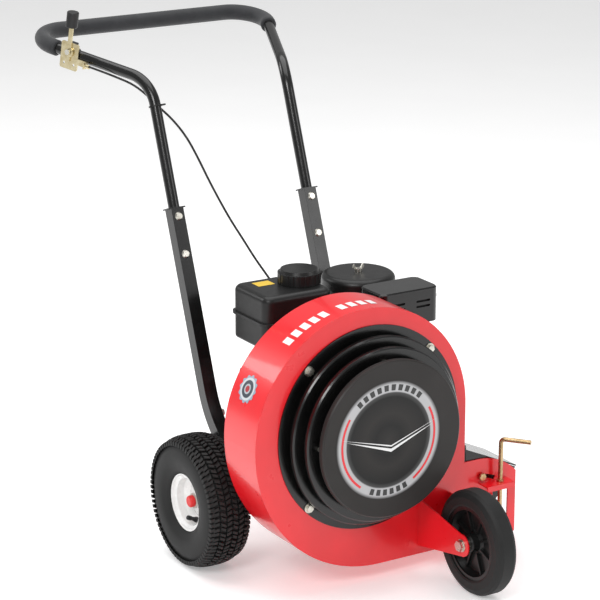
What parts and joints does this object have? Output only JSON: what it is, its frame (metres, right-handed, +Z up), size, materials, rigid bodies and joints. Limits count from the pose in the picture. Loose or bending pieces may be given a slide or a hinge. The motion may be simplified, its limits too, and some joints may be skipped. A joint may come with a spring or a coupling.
{
  "type": "walk behind leaf blower",
  "caption": "Wheeled walk-behind leaf blower: engine-driven fan in a red volute housing, louvred round intake, side outlet with tilting deflector, flared handle with throttle.",
  "frame": {"origin": "on the ground under the middle of the machine's box", "axes": "+Z up, -Y is the way the machine travels, +X is the machine's left"},
  "size_m": [0.6966, 1.2705, 1.1381],
  "materials": {
    "red_paint": "gloss red powder coat",
    "red_plastic": "gloss",
    "black_paint": "gloss black powder coat",
    "charcoal_cover": "satin charcoal",
    "zinc_steel": "zinc plated",
    "bright_steel": "ground steel",
    "yellow_zinc": "yellow zinc plate",
    "foam": "closed-cell foam, satin",
    "black_plastic": "moulded satin",
    "tyre_rubber": "turf tread rubber",
    "white_paint": "gloss white",
    "black_hub": "moulded black",
    "nylon": "natural nylon",
    "cast_alloy": "cast",
    "engine_black": "satin black",
    "cable_black": "cable sheath",
    "ceramic_rubber": "plug boot"
  },
  "bodies": {
    "machine": {"air_cleaner_base": "black_plastic", "air_cleaner_lid": "black_plastic", "axle_brackets": "red_paint", "base_plate": "red_paint", "cable_clip": "black_plastic", "carburettor": "cast_alloy", "control_bracket": "engine_black", "cover_studs": "zinc_steel", "crankcase": "cast_alloy", "cylinder": "cast_alloy", "deflector_pivots": "zinc_steel", "engine_bolts": "zinc_steel", "foam_grip": "foam", "front_axle_bolt": "zinc_steel", "front_fork": "red_paint", "fuel_tank": "black_plastic", "handle_bolts": "zinc_steel", "housing_back_plate": "red_paint", "housing_front_plate": "red_paint", "housing_wrapper": "red_paint", "hub_caps": "red_plastic", "intake_bolts": "zinc_steel", "intake_cover": "charcoal_cover", "intake_ring": "black_paint", "louvre_rings": "black_paint", "lower_handle_left": "black_paint", "lower_handle_right": "black_paint", "muffler": "engine_black", "muffler_guard": "black_paint", "pin_bracket": "red_paint", "rear_axle": "bright_steel", "recoil_cover": "black_plastic", "rocker_cover": "engine_black", "spark_plug": "ceramic_rubber", "throttle_cable": "cable_black", "throttle_clamp": "black_plastic", "throttle_pivot_bolt": "zinc_steel", "throttle_plate": "yellow_zinc", "upper_handle": "black_paint"},
    "rear_wheel_left": {"rear_tyre_left": "tyre_rubber", "rear_rim_left": "white_paint", "rear_bushes_left": "nylon"},
    "rear_wheel_right": {"rear_tyre_right": "tyre_rubber", "rear_rim_right": "white_paint", "rear_bushes_right": "nylon"},
    "front_wheel": {"front_tyre": "tyre_rubber", "front_hub": "black_hub"},
    "fan": {"impeller": "cast_alloy", "impeller_bolt": "zinc_steel", "crankshaft": "bright_steel"},
    "deflector_flap": {"deflector": "black_paint"},
    "pin": {"lock_pin": "yellow_zinc"},
    "lever": {"throttle_lever": "yellow_zinc", "throttle_knob": "black_plastic"},
    "cap": {"fuel_cap": "black_plastic"},
    "cleaner_nut": {"wing_nut": "zinc_steel"},
    "starter_grip": {"recoil_handle": "black_plastic"},
    "choke": {"choke_lever": "black_plastic"},
    "switch_knob": {"stop_switch": "black_plastic"},
    "oil_stick": {"dipstick": "black_plastic"}
  },
  "joints": [
    {"name": "rear_wheel_left_spin", "type": "hinge", "parent": "machine", "child": "rear_wheel_left", "pos_m": [0.2073, -0.0731, 0.146], "axis": [1, 0, 0], "continuous": true},
    {"name": "rear_wheel_right_spin", "type": "hinge", "parent": "machine", "child": "rear_wheel_right", "pos_m": [-0.2927, -0.0731, 0.146], "axis": [1, 0, 0], "continuous": true},
    {"name": "front_wheel_spin", "type": "hinge", "parent": "machine", "child": "front_wheel", "pos_m": [0.1263, -0.5211, 0.114], "axis": [1, 0, 0], "continuous": true},
    {"name": "fan_spin", "type": "hinge", "parent": "machine", "child": "fan", "pos_m": [-0.0427, -0.2731, 0.352], "axis": [0, 1, 0], "continuous": true},
    {"name": "deflector_tilt", "type": "hinge", "parent": "machine", "child": "deflector_flap", "pos_m": [0.2423, -0.2931, 0.084], "axis": [0, 1, 0], "range_deg": [0, 19]},
    {"name": "lock_pin_lift", "type": "slide", "parent": "machine", "child": "pin", "axis": [0, 0, 1], "range_m": [0, 0.12]},
    {"name": "throttle_tilt", "type": "hinge", "parent": "machine", "child": "lever", "pos_m": [-0.3168, 0.45728, 1.04442], "axis": [-0.9178, -0.3971, 0], "range_deg": [-30, 35]},
    {"name": "fuel_cap_turn", "type": "hinge", "parent": "machine", "child": "cap", "pos_m": [-0.0397, -0.0731, 0.61], "axis": [0, 0, 1], "range_deg": [0, 90]},
    {"name": "wing_nut_turn", "type": "hinge", "parent": "machine", "child": "cleaner_nut", "pos_m": [0.1293, -0.0481, 0.594], "axis": [0, 0, 1], "continuous": true},
    {"name": "starter_pull", "type": "slide", "parent": "machine", "child": "starter_grip", "axis": [-1, 0, 0], "range_m": [0, 0.3], "stiffness_N_per_m": 20, "springref_m": -0.05},
    {"name": "choke_turn", "type": "hinge", "parent": "machine", "child": "choke", "pos_m": [0.1023, -0.0431, 0.505], "axis": [0, 1, 0], "range_deg": [0, 60]},
    {"name": "stop_switch_turn", "type": "hinge", "parent": "machine", "child": "switch_knob", "pos_m": [0.0193, -0.0231, 0.425], "axis": [0, -1, 0], "range_deg": [0, 60]},
    {"name": "dipstick_turn", "type": "hinge", "parent": "machine", "child": "oil_stick", "pos_m": [0.0573, -0.1181, 0.29], "axis": [1, 0, 0], "range_deg": [0, 180]}
  ]
}
